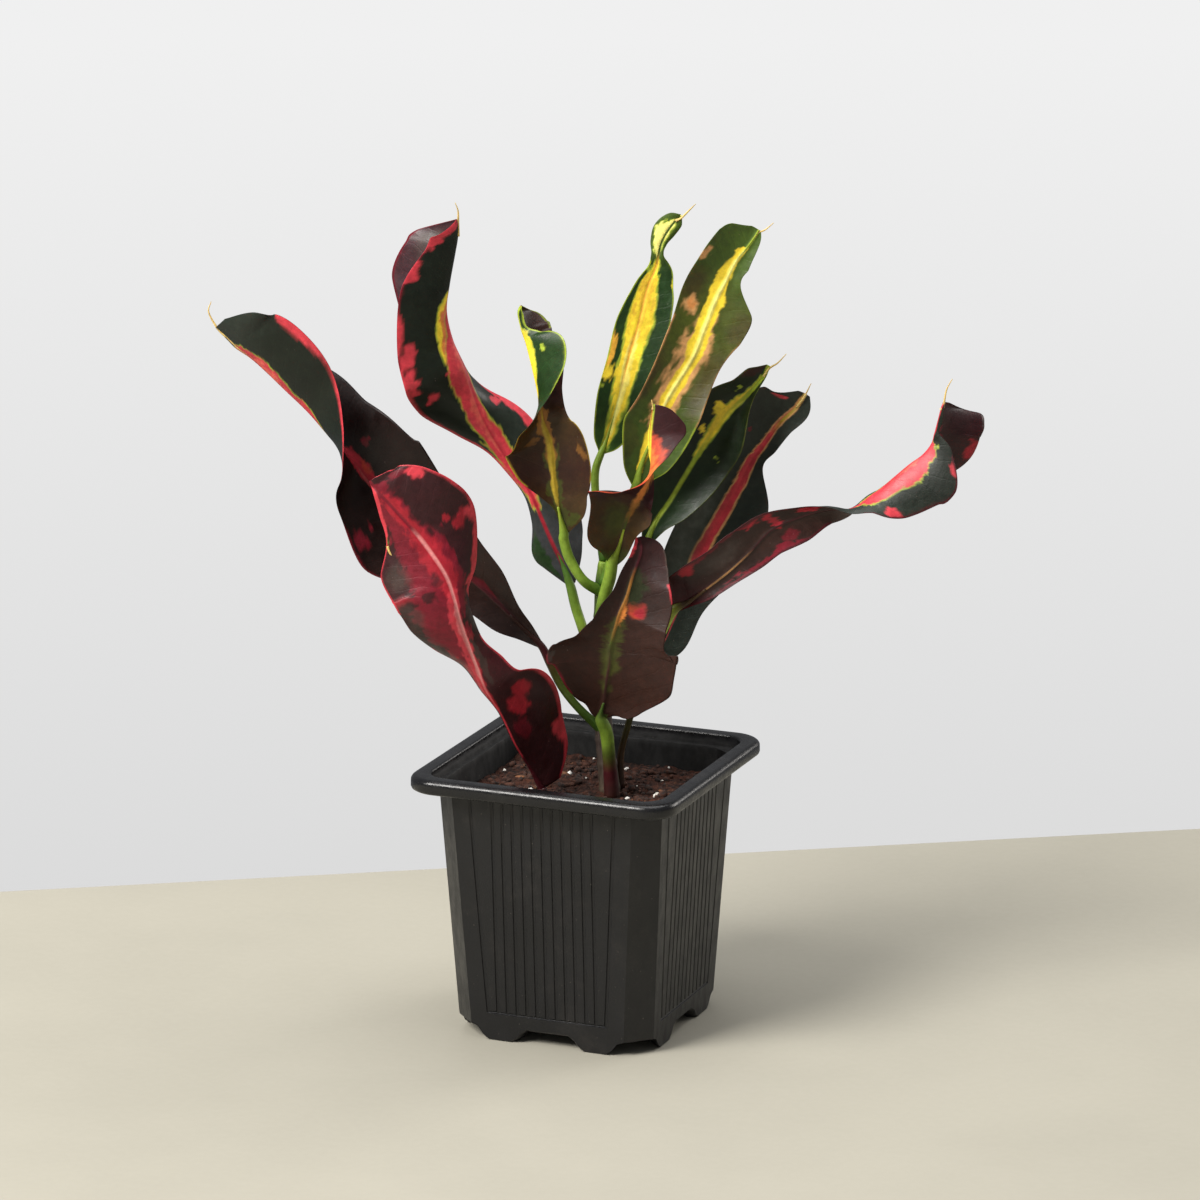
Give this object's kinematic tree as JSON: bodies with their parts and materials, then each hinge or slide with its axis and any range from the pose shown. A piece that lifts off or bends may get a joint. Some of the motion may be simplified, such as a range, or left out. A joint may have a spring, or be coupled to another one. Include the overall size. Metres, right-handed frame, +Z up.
{
  "type": "potted croton plant",
  "caption": "Young croton with long, twisted, variegated red, green and yellow leaves on a thin stem in a square ribbed black nursery pot filled with peat.",
  "frame": {"origin": "on the ground below the middle of the pot, which is also below the middle of the whole plant's bounding box", "axes": "+Z up along the plant; the pot's four sides face -X, +X, -Y and +Y; the plant's front lies between -Y and +X"},
  "size_m": [0.252, 0.1116, 0.2888],
  "materials": {
    "pot": "satin black plastic",
    "soil": "damp peat",
    "stem": "woody, green above",
    "maroon_leaf": "glossy leaf",
    "charcoal_leaf": "glossy leaf",
    "crimson_leaf": "glossy leaf",
    "olive_leaf": "glossy leaf",
    "yellow_leaf": "glossy leaf",
    "green_leaf": "glossy leaf"
  },
  "bodies": {
    "root": {"pot": "pot", "soil": "soil", "main_stem": "stem", "leaf_far_left": "maroon_leaf", "leaf_tall_left": "charcoal_leaf", "leaf_red_front": "crimson_leaf", "leaf_gold_left": "olive_leaf", "leaf_yellow_narrow": "yellow_leaf", "leaf_tall_right": "green_leaf", "leaf_cup": "olive_leaf", "leaf_right_green": "green_leaf", "leaf_red_rib": "charcoal_leaf", "leaf_long_right": "maroon_leaf", "leaf_front_broad": "maroon_leaf"}
  },
  "joints": []
}
